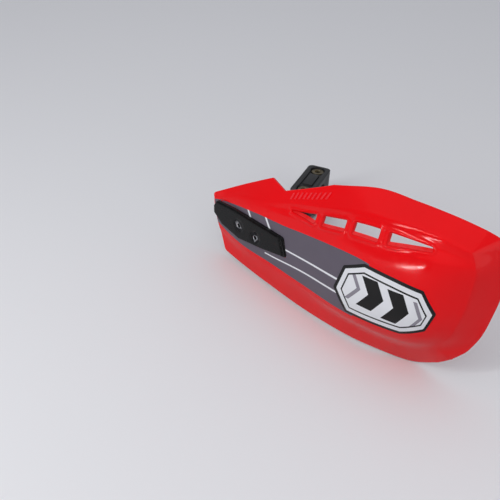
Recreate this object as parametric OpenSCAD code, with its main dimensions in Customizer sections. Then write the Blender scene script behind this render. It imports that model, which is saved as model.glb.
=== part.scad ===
// Motorcycle hand guard, the left-hand one of a pair, with its handlebar clamp.
// Frame: origin at the middle of the handlebar bore, +X along the bar towards its end,
// +Z up from the surface the guard stands on when it is off the bike, front face towards -Y.

/* [Handlebar clamp] */
// Diameter of the handlebar
bar_d = 22.2; // [20:0.1:28.6]
// Distance between the two clamp bolts
bolt_pitch = 34; // [33:0.5:40]
// Width of the clamp half that belongs to the bracket, along the bar
clamp_w = 19; // [18:0.5:26]
// Width of the separate clamp cap, along the bar
cap_w = 17; // [15:0.5:24]
// Metal of the clamp over the bar
clamp_wall = 3.4; // [3:0.1:5]
// Metal of the cap under the bar
cap_wall = 4.2; // [3.5:0.1:6]
// Open split between the two clamp halves
clamp_gap = 1.4; // [1:0.1:2.5]
// Slope of the clamp, rear end down
clamp_tilt = 6.5; // [4:0.5:14]
// Thickness of the cap's lugs
cap_lug_t = 7.5; // [6.5:0.5:9]
// Diameter of the clamp bolts
clamp_bolt_d = 6; // [5:1:6]

/* [Bracket] */
// Width of the arm
arm_w = 16.5; // [14:0.5:18]
// Height of the arm
arm_h = 11; // [9:0.5:13]
// Width of the channel between the arm's two rails
channel_w = 10.6; // [9:0.2:11]
// Depth of that channel
channel_d = 1.3; // [0.8:0.1:2]
// Groove left around the panel that stands in the channel
channel_groove = 1.5; // [1:0.1:2]
// Height of the foot that is screwed to the shell
foot_h = 13; // [12:0.5:16]
// Thickness of the foot
foot_t = 6.5; // [6:0.5:9]
// Foot from the middle of its screws to its outer end
foot_outer = 22; // [18:0.5:26]
// Foot from the middle of its screws to its inner end
foot_inner = 17; // [15:0.5:19]

/* [Place of the bar behind the shell] */
// Bar's middle from the shell's inner tip, along the shell
bar_x = 25.8; // [22:0.2:30]
// Bar's middle behind the shell's inner tip
bar_y = 82.4; // [78:0.2:92]
// Angle between the bar and the shell's long direction, seen from above
bar_sweep = 22.5; // [18:0.5:27]

/* [Shell] */
// Length of the shell from inner tip to outer end
shell_len = 229; // [215:1:245]
// Height of the shell
shell_high = 117.3; // [110:0.5:126]
// Wall of the shell
shell_wall = 2.6; // [2.2:0.1:3.2]
// How far the face bulges forward at its fullest
bulge = 10.6; // [8:0.2:13]
// Depth of the ledge that holds the air vents
ledge_depth = 3.3; // [2:0.1:4]
// First vent from the shell's inner tip
vent_start = 83; // [80:0.5:88]
// Wall bridge left between two vents, along the shell
vent_bridge = 7.5; // [5:0.5:9]
// Height of the vents
vent_high = 5.4; // [4.2:0.2:6]
// Slant of the vents: lower edge further out by this much
vent_lean = 1.2; // [0:0.1:2]
// Rounding in the corners of the vents
vent_round = 0.8; // [0.4:0.1:1]
// Length of the ear inboard of the notch, along the shell
ear_len = 54.6; // [50:0.2:58]
// Width of the notch beside the ear
notch_w = 15.8; // [12:0.2:18]
// Depth of that notch
notch_depth = 9.5; // [6:0.5:11]
// Length over which the edge comes back up to the brim
notch_run = 38; // [30:1:45]
// Rounding in the notch
notch_round = 2.5; // [1:0.5:4]
// Rounding of the corners at the inner tip
tip_round = 4; // [2:0.5:6]

/* [Front plate and its screws] */
// Length of the front plate
plate_len = 81.5; // [77:0.5:86]
// Height of the front plate
plate_high = 25.2; // [22:0.2:28]
// Thickness of the front plate
plate_t = 3.4; // [2.8:0.1:4.5]
// Step down at the plate's outer end
plate_step = 0.6; // [0.3:0.1:0.8]
// Width of the groove at that step
plate_groove = 1.3; // [0.8:0.1:2]
// Distance between the two plate screws
screw_pitch = 18.5; // [16:0.5:22]
// Middle of the two screws, along the shell from its inner tip
seat_x = 48.5; // [46:0.5:51]
// Middle of the two screws above the surface the guard stands on
seat_z = 39.5; // [37:0.5:42]
// Diameter of the plate screws
screw_d = 5; // [4:1:5]
// Diameter of the plate's locating peg
peg_d = 4.6; // [3.5:0.1:5.5]
// Thickness of the shell's seat between plate and foot
seat_t = 3.6; // [3:0.1:5]

/* [Hidden] */
$fn = 48;

// Clearances
fit = 0.1;
hole_play = 0.4;
cut = 1;
far = 80;

// Clamp, in its own axes: y to the rear along the clamp, z square to the split
bar_r = bar_d / 2;
clamp_top = bar_r + clamp_wall;
cap_bottom = bar_r + cap_wall;
bolt_y = bolt_pitch / 2;
lug_end = 7.6;
clamp_rear = bolt_y + lug_end;
clamp_front = bolt_y + 9;
head_d = clamp_bolt_d * 10 / 6;
head_h = clamp_bolt_d;
washer_d = head_d + 1.6;
washer_t = 1;
counterbore_d = washer_d + hole_play;
head_sink = head_h + washer_t - 0.4;
bolt_seat = clamp_top - channel_d - head_sink;
insert_d = clamp_bolt_d + 2.4;

// The surface the guard stands on lies this far under the bar's middle
bar_z = cap_bottom;

// Seat of the foot and the plate on the shell
seat_y = -8.6;
seat_turn = -5;
seat_lean = -7;
screw_x = screw_pitch / 2;
screw_head_d = screw_d * 2;
screw_sink = (screw_head_d - screw_d) / 2;
nut_h = screw_d * 0.8;
nut_d = screw_d * 1.6 / cos(30);
foot_back = seat_t + foot_t;
draw_plate = [81.5, 25.2];
peg_x = 31;
peg_z = 3;
plate_rim = 0.8;
plate_end = 42 * plate_len / draw_plate[0] - 3;
plate_end_lean = -29;

// Shell guide lines, drawn for a shell of this length and height
draw_len = 229;
draw_high = 117.3;
draw_bulge = 10.6;
edge_top = [[0, 0, 44.5], [35, 5.6, 68.4], [70, 8.5, 89.5], [105, 6.9, 100.6],
    [140, 12, 112.7], [168, 13.3, 116.4], [194, 16, 117.3], [212, 20.5, 114.6]];
fold_top = [[2, -1, 41], [36, 0.5, 62], [70, -1.5, 73.5], [105, -3, 87.5],
    [140, -1.8, 101.5], [168, -1, 107.5], [194, 1.2, 109.2], [212, 6.5, 105.5]];
fold_bottom = [[13, -5, 18], [40, -9, 17], [70, -12, 19], [105, -14.2, 21],
    [140, -15, 22], [168, -11.5, 22.5], [190, -5.5, 24], [206.5, -0.5, 30]];
edge_bottom = [[19.7, -6.8, 3.9], [40, -8.2, 2.6], [70, -9.8, 2], [105, -11, 1.9],
    [140, -10.2, 3], [165, -5.6, 3], [188, 4.8, 0], [206.8, 5.9, 12]];
inner_side = [[13, -5, 18], [7, -3, 30], [2, -1, 41]];
fold_outer = [[206.5, -0.5, 30], [213.5, 0.5, 44], [217, 2, 62], [218, 4.5, 80], [217, 6.5, 95],
    [212, 6.5, 105.5]];
edge_outer = [[221.7, 11.3, 28.8], [226.5, 15.6, 43], [228.5, 20, 61], [229, 24, 77], [228.5, 27.2, 90],
    [227, 27.7, 100.7]];
corner_bottom = [214.7, 7.5, 19.9];
corner_top = [221.5, 24.6, 109.8];
bulge_line = [1, 3.8, 3.6, 5.8, 10.2, 11, 9.3, 0];
// Ledge of the vents: where it starts and ends across the face, as shares of fold to fold
ledge_low = 0.815;
ledge_back = 0.885;
ledge_line = [0, 0, 0.15, 0.95, 1, 1, 1, 0];
// Stiffening ridges on the rear of the face, as shares up it, with their height
ridge_rows = [0.36, 0.62];
ridge_high = 1.1;
ridge_wide = 0.05;

function spline(p, t) =
    let (n = len(p) - 1, s = t * n, i = max(0, min(floor(s), n - 1)), f = s - i,
        a = p[max(i - 1, 0)], b = p[i], c = p[i + 1], d = p[min(i + 2, n)])
    b + f / 2 * ((c - a) + f * ((2 * a - 5 * b + 4 * c - d) + f * (3 * b - a - 3 * c + d)));

function lerp(a, b, t) = a + (b - a) * t;

// A patch that fills four boundary points and four boundary curves
function fill(left, right, low, high, ll, lr, hl, hr, u, v) =
    lerp(left, right, u) + lerp(low, high, v)
    - lerp(lerp(ll, lr, u), lerp(hl, hr, u), v);

function ledge_profile(v) =
    v < ledge_low || v > 1 ? 0
    : v < ledge_back ? (v - ledge_low) / (ledge_back - ledge_low)
    : (1 - v) / (1 - ledge_back);

// Front face inside the fold lines, u along the shell and v up it
function face(u, v) =
    let (p = fill(spline(inner_side, v), spline(fold_outer, v), spline(fold_bottom, u),
            spline(fold_top, u), fold_bottom[0], fold_bottom[7], fold_top[0], fold_top[7], u, v),
        forward = spline(bulge_line, u) * bulge / draw_bulge * (1 - pow(abs(2 * v - 1), 2.5)),
        back = spline(ledge_line, u) * ledge_depth * ledge_profile(v))
    p + [0, back - forward, 0];

// Rounded corner of the rim: a fan from the fold's corner to the edge
function corner(k, from, mid, to, c, b) =
    let (reach = max(c, b), share = reach == 0 ? 0 : c >= b ? 1 - b / c / 2 : c / b / 2)
    lerp(k, spline([from, mid, to], share), reach);

// Whole front face: u over 1 is the outer rim, v under 0 the lower rim, v over 1 the brim
function shell_point(u, v) =
    u <= 1 ? (v < 0 ? lerp(spline(fold_bottom, u), spline(edge_bottom, u), -v)
        : v > 1 ? lerp(spline(fold_top, u), spline(edge_top, u), v - 1)
        : face(u, v))
    : v < 0 ? corner(fold_bottom[7], edge_bottom[7], corner_bottom, edge_outer[0], u - 1, -v)
    : v > 1 ? corner(fold_top[7], edge_top[7], corner_top, edge_outer[5], u - 1, v - 1)
    : lerp(spline(fold_outer, v), spline(edge_outer, v), u - 1);

// The same point at the size that is set
function shell_at(u, v) =
    let (p = shell_point(u, v))
    [seat_x + (p[0] - seat_x) * shell_len / draw_len, p[1], p[2] * shell_high / draw_high];

function shell_normal(u, v) =
    let (e = 0.01, n = cross(shell_at(u + e, v) - shell_at(u - e, v), shell_at(u, v + e) - shell_at(u, v - e)))
    n / norm(n);

// Height of the stiffening ridges behind the face at this place, none near the shell's ends
function ridge(u, v) =
    u < 0.4 || u > 0.93 ? 0
    : ridge_high * min(1, 12 * (u - 0.4), 16 * (0.93 - u))
        * max([for (r = ridge_rows) max(0, 1 - abs(v - r) / ridge_wide)]);

columns = [for (i = [0:42]) i / 42, 1.25, 1.5, 1.75, 2];
rows = [-1, -0.75, -0.5, -0.25, 0, 0.1, 0.2, 0.26, 0.31, 0.36, 0.41, 0.48, 0.57, 0.62, 0.67, 0.74,
    ledge_low, 0.85, ledge_back, 0.92, 0.96, 1, 1.25, 1.5, 1.75, 2];

// The sheet between the front face and its rear, with the ridges on the rear
module shell_sheet() {
    nu = len(columns);
    nv = len(rows);
    surface = [for (u = columns) for (v = rows) [shell_at(u, v), shell_normal(u, v), shell_wall + ridge(u, v)]];
    points = concat([for (s = surface) s[0]], [for (s = surface) s[0] - s[1] * s[2]]);
    under = nu * nv;
    faces = [
        for (i = [0:nu - 2]) for (j = [0:nv - 2])
            let (a = i * nv + j, b = a + nv, c = b + 1, d = a + 1)
            each [[a, c, b], [a, d, c], [under + a, under + b, under + c], [under + a, under + c, under + d]],
        for (i = [0:nu - 2]) for (j = [0, nv - 1])
            let (a = i * nv + j, b = a + nv, flip = j > 0)
            each flip ? [[a, under + b, b], [a, under + a, under + b]]
                : [[a, b, under + b], [a, under + b, under + a]],
        for (j = [0:nv - 2]) for (i = [0, nu - 1])
            let (a = i * nv + j, d = a + 1, flip = i > 0)
            each flip ? [[a, d, under + d], [a, under + d, under + a]]
                : [[a, under + d, d], [a, under + a, under + d]]
    ];
    polyhedron(points = points, faces = faces, convexity = 6);
}

// Puts what is drawn in the shell's axes where it stands in the bar's axes
module in_shell_axes() {
    rotate([0, 0, -bar_sweep]) translate([-bar_x, -bar_y, -bar_z]) children();
}

// Axes of the seat: y square to the plate and to the rear, origin between the screws
module in_seat_axes() {
    in_shell_axes() translate([seat_x, seat_y, seat_z]) rotate([seat_lean, 0, seat_turn]) children();
}

// Axes of the clamp
module in_clamp_axes() {
    rotate([-clamp_tilt, 0, 0]) children();
}

// A flat outline in x and z, as a slab between two depths y
module slab(y_from, y_to) {
    translate([0, y_to, 0]) rotate([90, 0, 0]) linear_extrude(y_to - y_from) children();
}

// A round bar along y
module rod(d, y_from, y_to, x = 0, z = 0) {
    translate([x, y_from, z]) rotate([-90, 0, 0]) cylinder(d = d, h = y_to - y_from);
}

// Outline of the front plate, seen from the front
module plate_outline(grow = 0) {
    offset(r = 2.2 + grow) offset(delta = -2.2) scale([plate_len / draw_plate[0], plate_high / draw_plate[1]])
        polygon([[-39.5, 2], [-37.5, 6.2], [-18, 9.5], [35, 14.2], [42, 1.6], [17, -5.4], [-8, -11], [-28, -9.4],
            [-38.5, -4]]);
}

// Foot of the bracket, seen from the front
module foot_outline(grow = 0) {
    offset(r = 3.5 + grow) offset(delta = -3.5)
        translate([-foot_inner, -foot_h / 2]) square([foot_inner + foot_outer, foot_h]);
}

// Share of the way along the shell at which the brim's fold has this distance from the tip
function along(x) = lookup(x, [for (k = [0:7]) [fold_top[k][0], k / 7]]);

// One vent between two distances from the tip, with shares of its full height at both ends
module vent(from, to, high_from, high_to) {
    share = vent_high / (fold_top[4][2] - fold_bottom[4][2]);
    u0 = along(from);
    u1 = along(to);
    lean = vent_lean / draw_len;
    corners = [[u0, ledge_back], [u1, ledge_back], [u1 + lean, ledge_back - share * high_to],
        [u0 + lean, ledge_back - share * high_from]];
    p = [for (q = corners) shell_at(q[0], q[1])];
    slab(-far, far) offset(r = vent_round) offset(delta = -vent_round) polygon([for (q = p) [q[0], q[2]]]);
}

// The four vents: length, and share of the height at the inner and outer end
vent_list = [[22.4, 0.15, 1], [18, 1, 1], [17.5, 1, 1], [28, 0.9, 0.1]];

// Where a vent starts: after the vents and bridges before it
function vent_from(k) = k == 0 ? vent_start : vent_from(k - 1) + vent_list[k - 1][0] + vent_bridge;

module vents() {
    for (k = [0:3])
        vent(vent_from(k), vent_from(k) + vent_list[k][0], vent_list[k][1], vent_list[k][2]);
}

module guard_shell() {
    color("#e00008") difference() {
        union() {
            in_shell_axes() shell_sheet();
            in_seat_axes() slab(-0.6, seat_t + 0.3) plate_outline(-0.4);
        }
        in_seat_axes() {
            slab(-far / 2, 0) plate_outline(fit);
            slab(seat_t, foot_back) foot_outline(1);
            for (x = [-screw_x, screw_x]) rod(screw_d + hole_play, -cut, seat_t + cut, x);
            rod(peg_d + hole_play, -cut, far / 4, peg_x, peg_z);
        }
        in_shell_axes() {
            vents();
            notch();
            tip_corners();
        }
    }
}

// Step in the top edge between the inner ear and the brim
module notch() {
    ear = shell_at(along(ear_len), 2);
    low = shell_at(along(ear_len + notch_w), 2);
    brim = shell_at(along(ear_len + notch_w + notch_run), 2);
    slab(-far, far) offset(r = notch_round) offset(delta = -notch_round)
        polygon([[ear[0], ear[2]], [low[0], low[2] - notch_depth], [brim[0], brim[2]],
            [brim[0], far + brim[2]], [ear[0], far + brim[2]]]);
}

// Rounding of the shell's two corners at the inner tip
module tip_corners() {
    for (q = [[2, -1], [-1, 1]]) {
        tip = shell_at(0, q[0]);
        next = shell_at(0.1, q[0]);
        last = shell_at(0, q[0] + q[1]);
        a = [next[0] - tip[0], next[2] - tip[2]];
        b = [last[0] - tip[0], last[2] - tip[2]];
        slab(-far, far) translate([tip[0], tip[2]]) difference() {
            circle(1.5 * tip_round);
            offset(r = tip_round + fit / 2) offset(delta = -tip_round)
                polygon([[0, 0], a / norm(a) * far, b / norm(b) * far]);
        }
    }
}

module front_plate() {
    color("#1b1b1d") in_seat_axes() difference() {
        union() {
            difference() {
                slab(-plate_t, 0) plate_outline(-plate_rim);
                translate([plate_end, -plate_t - cut, 0]) rotate([0, plate_end_lean, 0]) {
                    translate([0, 0, -far / 2]) cube([far / 2, cut + plate_step, far]);
                    translate([0, 0, -far / 2]) cube([plate_groove, cut + 1.5 * plate_step, far]);
                }
            }
            slab(-plate_t + 1.2, 0) plate_outline(0);
            rod(peg_d, -0.5, seat_t - 0.5, peg_x, peg_z);
        }
        for (x = [-screw_x, screw_x]) {
            rod(screw_d + hole_play, -plate_t - cut, cut, x);
            translate([x, -plate_t - 0.01, 0]) rotate([-90, 0, 0])
                cylinder(d1 = screw_head_d + hole_play, d2 = screw_d + hole_play, h = screw_sink);
        }
    }
}

module plate_screw(x) {
    length = plate_t + foot_back - 0.5;
    color("#8d8f94") in_seat_axes() translate([x, -plate_t + 0.2, 0]) rotate([-90, 0, 0]) difference() {
        union() {
            cylinder(d1 = screw_head_d - 0.2, d2 = screw_d, h = screw_sink - 0.1);
            cylinder(d = screw_d, h = length);
        }
        translate([0, 0, -cut]) cylinder(d = screw_d * 0.6 / cos(30), h = cut + screw_sink * 0.9, $fn = 6);
    }
}

module foot_nut(x) {
    color("#a79a78") in_seat_axes() translate([x, foot_back - nut_h - 0.3, 0]) rotate([-90, 0, 0])
        difference() {
            cylinder(d = nut_d, h = nut_h, $fn = 6);
            translate([0, 0, -cut]) cylinder(d = screw_d + fit, h = nut_h + 2 * cut);
        }
}

// Upper clamp half with its arm and foot, one moulding
module bracket() {
    color("#232326") difference() {
        union() {
            clamp_half();
            arm();
            in_seat_axes() slab(seat_t, foot_back) foot_outline();
        }
        in_clamp_axes() {
            rotate([0, 90, 0]) cylinder(r = bar_r, h = clamp_w + 2 * far, center = true, $fn = 96);
            for (y = [-bolt_y, bolt_y]) translate([0, y, 0]) {
                cylinder(d = clamp_bolt_d + hole_play, h = far);
                translate([0, 0, bolt_seat]) cylinder(d = counterbore_d, h = far);
            }
            channel();
        }
        in_seat_axes() for (x = [-screw_x, screw_x]) {
            rod(screw_d + hole_play, 0, foot_back + cut, x);
            translate([x, foot_back - nut_h - 0.3, 0]) rotate([-90, 0, 0])
                cylinder(d = nut_d + 2 * fit, h = far / 2, $fn = 6);
        }
    }
}

// Half of the clamp that sits over the bar
module clamp_half() {
    in_clamp_axes() translate([0, 0, clamp_gap / 2]) linear_extrude(clamp_top - clamp_gap / 2)
        offset(r = 4) offset(delta = -4)
            translate([-clamp_w / 2, -clamp_front]) square([clamp_w, clamp_front + clamp_rear]);
}

// Channel along the top of the clamp, between its rails, with a raised panel between the bolts
module channel() {
    translate([0, 0, clamp_top - channel_d]) linear_extrude(far) difference() {
        offset(r = 3) offset(delta = -3)
            translate([-channel_w / 2, -clamp_front + 1]) square([channel_w, clamp_front + clamp_rear - 4]);
        square([channel_w - 2 * channel_groove, bolt_pitch - counterbore_d - 2 * channel_groove], center = true);
    }
}

// A rounded block that the arm is hulled through, square to its own y
module arm_section(w, h) {
    rotate([90, 0, 0]) linear_extrude(0.5) offset(r = 2.5, $fn = 24) square([w - 5, h - 5], center = true);
}

module arm() {
    bend = [0, -36, 17.2];
    hull() {
        in_clamp_axes() translate([0, -clamp_front + 6, clamp_top - arm_h / 2]) arm_section(arm_w + 2, arm_h);
        translate(bend) arm_section(arm_w, arm_h);
    }
    hull() {
        translate(bend) rotate([0, 0, -bar_sweep]) arm_section(arm_w, arm_h);
        in_seat_axes() translate([-screw_x + 0.5, foot_back + 3, -5]) arm_section(arm_w, arm_h - 1);
    }
    hull() {
        in_seat_axes() translate([-screw_x + 0.5, foot_back + 3, -5]) arm_section(arm_w, arm_h - 1);
        in_seat_axes() translate([-screw_x + 0.5, foot_back - 1, -3]) arm_section(arm_w + 4, arm_h - 3);
    }
}

// Half of the clamp under the bar
module clamp_cap() {
    color("#202023") in_clamp_axes() difference() {
        union() {
            translate([0, 0, -cap_lug_t - clamp_gap / 2]) linear_extrude(cap_lug_t)
                offset(r = 4) offset(delta = -4)
                    square([cap_w, 2 * clamp_rear], center = true);
            intersection() {
                rotate([0, 90, 0]) cylinder(r = cap_bottom, h = cap_w, center = true, $fn = 96);
                translate([-cap_w / 2, -far / 2, -far - clamp_gap / 2]) cube([cap_w, far, far]);
            }
        }
        rotate([0, 90, 0]) cylinder(r = bar_r, h = cap_w + 2 * cut, center = true, $fn = 96);
        for (y = [-bolt_y, bolt_y]) translate([0, y, -cap_lug_t - clamp_gap / 2 - cut])
            cylinder(d = insert_d, h = cap_lug_t + 2 * cut);
    }
}

module clamp_bolt(y) {
    color("#6d675a") in_clamp_axes() translate([0, y, 0]) difference() {
        union() {
            translate([0, 0, bolt_seat + washer_t]) cylinder(d = head_d, h = head_h);
            translate([0, 0, -cap_lug_t - clamp_gap / 2 + 0.5])
                cylinder(d = clamp_bolt_d, h = bolt_seat + washer_t + cap_lug_t + clamp_gap / 2 - 0.4);
        }
        translate([0, 0, bolt_seat + washer_t + head_h * 0.45])
            cylinder(d = clamp_bolt_d * 0.83 / cos(30), h = head_h, $fn = 6);
    }
}

module clamp_washer(y) {
    color("#8a8270") in_clamp_axes() translate([0, y, bolt_seat]) difference() {
        cylinder(d = washer_d, h = washer_t);
        translate([0, 0, -cut]) cylinder(d = clamp_bolt_d + hole_play, h = washer_t + 2 * cut);
    }
}

module cap_insert(y) {
    color("#b39a5a") in_clamp_axes() translate([0, y, -cap_lug_t - clamp_gap / 2]) difference() {
        cylinder(d = insert_d, h = cap_lug_t - 0.2);
        translate([0, 0, -cut]) cylinder(d = clamp_bolt_d + fit, h = cap_lug_t + 2 * cut);
    }
}

guard_shell();
front_plate();
plate_screw(-screw_x);  // plate_screw_inner
plate_screw(screw_x);  // plate_screw_outer
foot_nut(-screw_x);  // foot_nut_inner
foot_nut(screw_x);  // foot_nut_outer
bracket();
clamp_cap();
clamp_bolt(-bolt_y);  // clamp_bolt_front
clamp_bolt(bolt_y);  // clamp_bolt_rear
clamp_washer(-bolt_y);  // clamp_washer_front
clamp_washer(bolt_y);  // clamp_washer_rear
cap_insert(-bolt_y);  // cap_insert_front
cap_insert(bolt_y);  // cap_insert_rear
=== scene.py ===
"""Motorcycle hand guard with its handlebar clamp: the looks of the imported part.

Lengths of the shell are worked out in millimetres in the shell's own axes: x along the shell
from its inner tip, y to the rear, z up from the floor. to_part turns them into the part's frame.
"""

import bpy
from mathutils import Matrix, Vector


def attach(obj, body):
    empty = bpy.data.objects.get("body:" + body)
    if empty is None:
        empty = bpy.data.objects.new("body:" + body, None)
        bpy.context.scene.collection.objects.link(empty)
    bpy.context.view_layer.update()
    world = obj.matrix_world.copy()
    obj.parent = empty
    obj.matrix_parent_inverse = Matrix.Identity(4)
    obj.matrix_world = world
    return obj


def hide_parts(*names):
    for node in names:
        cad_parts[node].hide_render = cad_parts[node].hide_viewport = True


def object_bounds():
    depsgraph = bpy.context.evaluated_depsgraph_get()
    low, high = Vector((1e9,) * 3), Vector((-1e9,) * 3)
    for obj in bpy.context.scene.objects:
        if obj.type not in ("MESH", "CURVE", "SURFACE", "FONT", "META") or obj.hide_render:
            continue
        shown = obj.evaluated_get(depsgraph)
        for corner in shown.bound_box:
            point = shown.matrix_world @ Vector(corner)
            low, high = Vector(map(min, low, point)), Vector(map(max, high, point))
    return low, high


bl_info = {
    "name": "Motorcycle hand guard",
    "version": (1, 0, 0),
    "blender": (4, 5, 0),
    "location": "View3D > Sidebar > Hand guard",
    "description": "Builds a hand guard's shell, print, plate, bracket and fasteners",
    "category": "Add Mesh",
}

import math

import bmesh
import bpy
import numpy as np
from bpy.props import FloatProperty, IntProperty, PointerProperty
from mathutils import Matrix, Vector
from mathutils.geometry import delaunay_2d_cdt

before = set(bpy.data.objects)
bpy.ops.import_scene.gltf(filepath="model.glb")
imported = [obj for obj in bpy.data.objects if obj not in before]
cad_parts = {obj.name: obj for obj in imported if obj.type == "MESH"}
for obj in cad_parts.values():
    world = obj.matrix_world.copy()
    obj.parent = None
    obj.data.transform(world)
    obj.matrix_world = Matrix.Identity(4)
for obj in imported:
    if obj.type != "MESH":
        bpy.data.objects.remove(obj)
CAD_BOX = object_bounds()
MM = 0.001

# Place of the shell's axes in the part's frame
BAR = np.array([25.8, 82.4, 15.3])
BAR_SWEEP = 22.5

# Guide lines of the shell, from the inner end to the outer end
EDGE_TOP = np.array([[0, 0, 44.5], [35, 5.6, 68.4], [70, 8.5, 89.5], [105, 6.9, 100.6],
                     [140, 12, 112.7], [168, 13.3, 116.4], [194, 16, 117.3], [212, 20.5, 114.6]])
FOLD_TOP = np.array([[2, -1, 41], [36, 0.5, 62], [70, -1.5, 73.5], [105, -3, 87.5],
                     [140, -1.8, 101.5], [168, -1, 107.5], [194, 1.2, 109.2], [212, 6.5, 105.5]])
FOLD_BOTTOM = np.array([[13, -5, 18], [40, -9, 17], [70, -12, 19], [105, -14.2, 21],
                        [140, -15, 22], [168, -11.5, 22.5], [190, -5.5, 24], [206.5, -0.5, 30]])
EDGE_BOTTOM = np.array([[19.7, -6.8, 3.9], [40, -8.2, 2.6], [70, -9.8, 2], [105, -11, 1.9],
                        [140, -10.2, 3], [165, -5.6, 3], [188, 4.8, 0], [206.8, 5.9, 12]])
INNER_SIDE = np.array([[13, -5, 18], [7, -3, 30], [2, -1, 41.0]])
FOLD_OUTER = np.array([[206.5, -0.5, 30], [213.5, 0.5, 44], [217, 2, 62], [218, 4.5, 80],
                       [217, 6.5, 95], [212, 6.5, 105.5]])
EDGE_OUTER = np.array([[221.7, 11.3, 28.8], [226.5, 15.6, 43], [228.5, 20, 61], [229, 24, 77],
                       [228.5, 27.2, 90], [227, 27.7, 100.7]])
CORNER_BOTTOM = np.array([214.7, 7.5, 19.9])
CORNER_TOP = np.array([221.5, 24.6, 109.8])
BULGE_LINE = np.array([[1], [3.8], [3.6], [5.8], [10.2], [11], [9.3], [0.0]])
LEDGE_LINE = np.array([[0], [0], [0.15], [0.95], [1], [1], [1], [0.0]])
LEDGE_LOW = 0.815
LEDGE_BACK = 0.885
LEDGE_DEPTH = 3.3
RIDGE_ROWS = (0.36, 0.62)
RIDGE_HIGH, RIDGE_WIDE = 1.1, 0.05

# Lengths that stand for one unit of u and v, on the face and on its rims
FACE_LONG = 212.0
FACE_HIGH = 80.0
OUTER_RIM = 15.0
BRIM_RIM = 17.0
LOWER_RIM = 18.0


def linear(hex_colour):
    """sRGB hex, such as "#e00008", as linear red, green, blue and alpha."""
    parts = [int(hex_colour[i:i + 2], 16) / 255 for i in (1, 3, 5)]
    return (*(c / 12.92 if c <= 0.04045 else ((c + 0.055) / 1.055) ** 2.4 for c in parts), 1.0)


def turn_x(deg):
    c, s = math.cos(math.radians(deg)), math.sin(math.radians(deg))
    return np.array([[1, 0, 0], [0, c, -s], [0, s, c]])


def turn_z(deg):
    c, s = math.cos(math.radians(deg)), math.sin(math.radians(deg))
    return np.array([[c, -s, 0], [s, c, 0], [0, 0, 1]])


SWEEP = turn_z(-BAR_SWEEP)


def to_part(p):
    """Points in the shell's axes, in mm, as points in the part's frame, in metres."""
    return (np.asarray(p, float).reshape(-1, 3) - BAR) @ SWEEP.T * MM


def to_shell(p):
    """The reverse of to_part."""
    return np.asarray(p, float).reshape(-1, 3) / MM @ SWEEP + BAR


# The seat of plate and foot: y square to the plate and to the rear
SEAT_PLACE = np.array([48.5, -8.6, 39.5])
SEAT_TURN = turn_z(-5) @ turn_x(-7)
SEAT_BACK = 3.6


def to_seat(p):
    return (np.asarray(p, float) - SEAT_PLACE) @ SEAT_TURN


def from_seat(p):
    return np.asarray(p, float) @ SEAT_TURN.T + SEAT_PLACE


def spline(points, t):
    """A smooth line through points, at each t from 0 to 1."""
    n = len(points) - 1
    s = np.asarray(t, float) * n
    i = np.clip(np.floor(s).astype(int), 0, n - 1)
    f = (s - i)[:, None]
    a, b, c, d = (points[np.clip(i + k, 0, n)] for k in (-1, 0, 1, 2))
    return b + f / 2 * ((c - a) + f * ((2 * a - 5 * b + 4 * c - d) + f * (3 * b - a - 3 * c + d)))


def mix(a, b, t):
    return a + (b - a) * t


def fill(left, right, low, high, ll, lr, hl, hr, u, v):
    return mix(left, right, u) + mix(low, high, v) - mix(mix(ll, lr, u), mix(hl, hr, u), v)


def corner_patch(k, start, mid, end, c, b):
    """A fan from the fold's corner to the rounded edge: c to one side, b to the other."""
    reach = np.maximum(c, b)
    share = np.where(c >= b, 1 - b / np.maximum(c, 1e-9) / 2, c / np.maximum(b, 1e-9) / 2)
    return mix(k, spline(np.array([start, mid, end]), share[:, 0]), reach)


def sharp_surface(u, v):
    """The front face before its creases are rounded."""
    u, v = np.asarray(u, float), np.asarray(v, float)
    uc, vc = np.clip(u, None, 1), np.clip(v, 0, 1)
    U, V = uc[:, None], vc[:, None]
    face = fill(spline(INNER_SIDE, vc), spline(FOLD_OUTER, vc), spline(FOLD_BOTTOM, uc),
                spline(FOLD_TOP, uc), FOLD_BOTTOM[0], FOLD_BOTTOM[-1], FOLD_TOP[0], FOLD_TOP[-1],
                U, V)
    ledge = np.where(v < LEDGE_BACK, (v - LEDGE_LOW) / (LEDGE_BACK - LEDGE_LOW),
                     (1 - v) / (1 - LEDGE_BACK))
    ledge = np.clip(ledge, 0, 1)[:, None]
    bulge = 1 - np.abs(2 * V - 1) ** 2.5
    face[:, 1] += (spline(LEDGE_LINE, uc) * LEDGE_DEPTH * ledge
                   - spline(BULGE_LINE, uc) * bulge)[:, 0]
    low = mix(spline(FOLD_BOTTOM, uc), spline(EDGE_BOTTOM, uc), -v[:, None])
    high = mix(spline(FOLD_TOP, uc), spline(EDGE_TOP, uc), v[:, None] - 1)
    outer = mix(spline(FOLD_OUTER, vc), spline(EDGE_OUTER, vc), u[:, None] - 1)
    c = np.clip(u[:, None] - 1, 0, None)
    low_corner = corner_patch(FOLD_BOTTOM[7], EDGE_BOTTOM[7], CORNER_BOTTOM, EDGE_OUTER[0],
                              c, np.clip(-v[:, None], 0, None))
    high_corner = corner_patch(FOLD_TOP[7], EDGE_TOP[7], CORNER_TOP, EDGE_OUTER[5],
                               c, np.clip(v[:, None] - 1, 0, None))
    inside = u <= 1
    out = np.where((inside & (v < 0))[:, None], low, face)
    out = np.where((inside & (v > 1))[:, None], high, out)
    out = np.where((~inside & (v < 0))[:, None], low_corner, out)
    out = np.where((~inside & (v > 1))[:, None], high_corner, out)
    return np.where((~inside & (v >= 0) & (v <= 1))[:, None], outer, out)


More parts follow.
